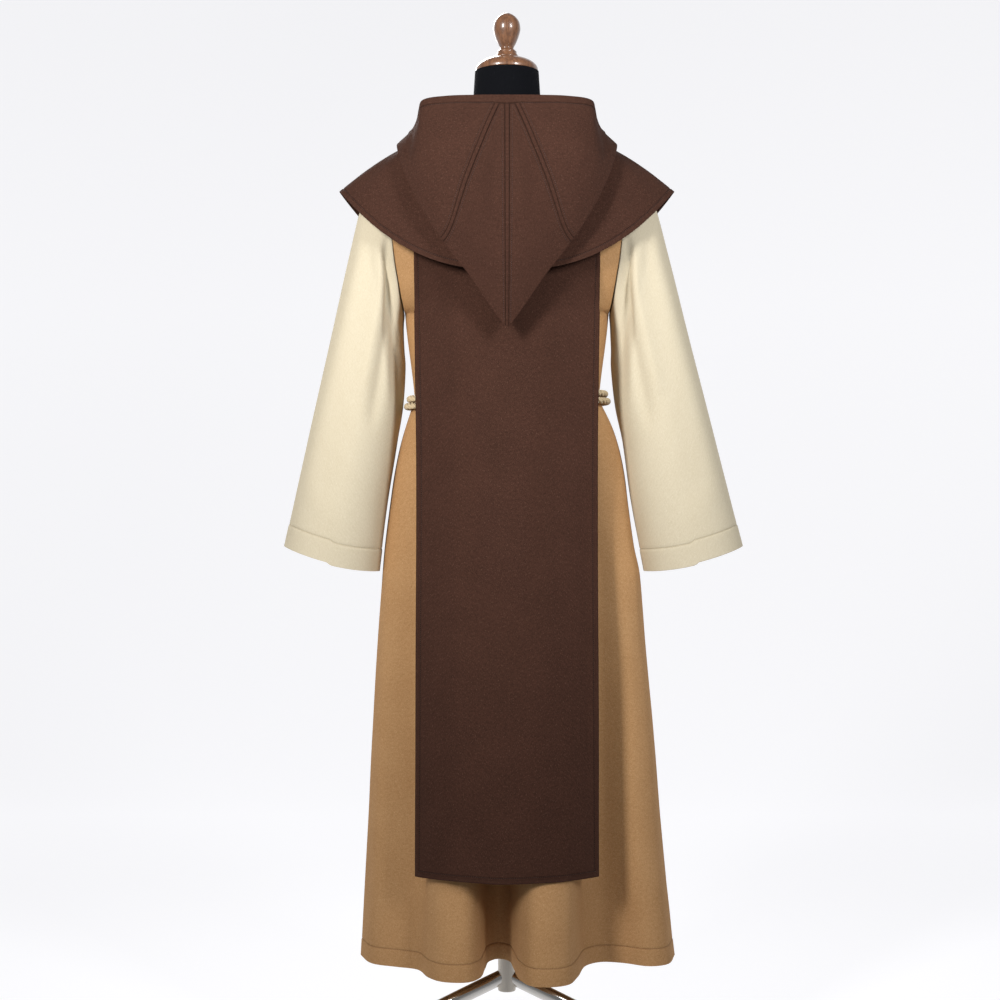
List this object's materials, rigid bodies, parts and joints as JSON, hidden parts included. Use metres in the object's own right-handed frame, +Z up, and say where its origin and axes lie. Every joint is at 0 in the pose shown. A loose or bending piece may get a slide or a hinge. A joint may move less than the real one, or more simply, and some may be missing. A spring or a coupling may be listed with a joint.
{
  "type": "monastic habit on dress form",
  "caption": "Long flared tunic with wide set-in sleeves, scapular, hooded shoulder cape and rope cincture, worn by a limbless dress form on a metal stand.",
  "frame": {"origin": "on the floor, under the middle of the form's pole", "axes": "+Z up, the garment's front faces -Y and its back +Y, the wearer's left is +X"},
  "size_m": [0.8054, 0.4361, 1.8523],
  "materials": {
    "tan_wool": "matt brushed wool, fine weave",
    "cream_wool": "matt brushed wool, fine weave",
    "brown_wool": "matt dense wool with paler flecks",
    "rope": "twisted natural cotton rope",
    "black_jersey": "matt black jersey",
    "varnished_wood": "turned beech, stained and varnished",
    "pole_metal": "satin metal",
    "chrome": "polished"
  },
  "bodies": {
    "root": {"tunic_back": "tan_wool", "tunic_front": "tan_wool", "sleeve_left": "cream_wool", "sleeve_right": "cream_wool", "scapular_back": "brown_wool", "scapular_front": "brown_wool", "cape_left": "brown_wool", "cape_right": "brown_wool", "hood_side_left": "brown_wool", "hood_side_right": "brown_wool", "hood_gore_left": "brown_wool", "hood_gore_right": "brown_wool", "hood_nape": "brown_wool", "cincture_wrap_upper": "rope", "cincture_wrap_lower": "rope", "cincture_knot": "rope", "cincture_tail_a": "rope", "cincture_tail_b": "rope", "tail_knot_a": "rope", "tail_knot_b": "rope", "form_torso": "black_jersey", "form_neck_cap": "varnished_wood", "form_finial": "varnished_wood", "stand_pole": "pole_metal", "stand_leg_left": "chrome", "stand_leg_right": "chrome", "stand_foot_left": "chrome", "stand_foot_right": "chrome"}
  },
  "joints": []
}
